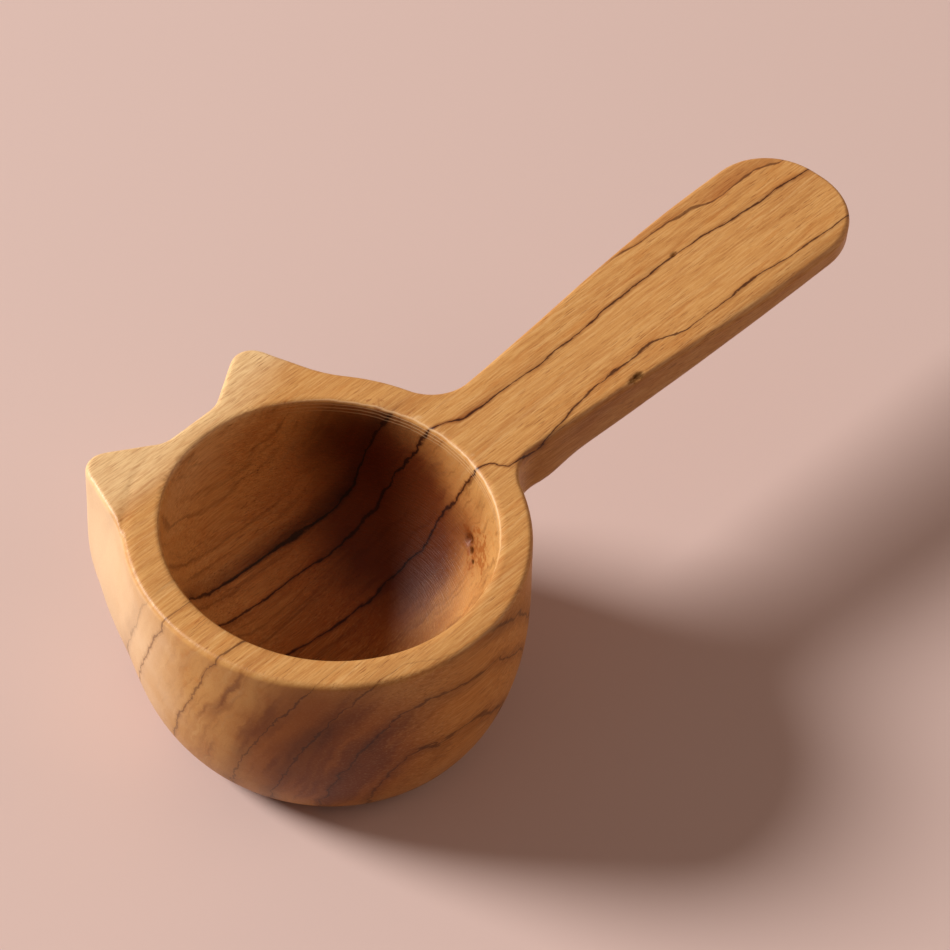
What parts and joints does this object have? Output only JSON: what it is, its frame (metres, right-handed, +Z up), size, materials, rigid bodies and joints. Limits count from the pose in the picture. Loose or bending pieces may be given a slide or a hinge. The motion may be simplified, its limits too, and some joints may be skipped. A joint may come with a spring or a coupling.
{
  "type": "measuring spoon",
  "caption": "Deep round wooden measuring scoop with two small pointed ears on the rim and a flat paddle handle.",
  "frame": {"origin": "on the table under the middle of the bowl's mouth, at the level of the flat foot", "axes": "+X along the handle away from the bowl, +Y from the bowl's middle towards the two ears, +Z up out of the mouth"},
  "size_m": [0.1222, 0.0569, 0.033],
  "materials": {
    "oiled_wood": "satin, sanded and oiled"
  },
  "bodies": {
    "root": {"carved_scoop": "oiled_wood"}
  },
  "joints": []
}
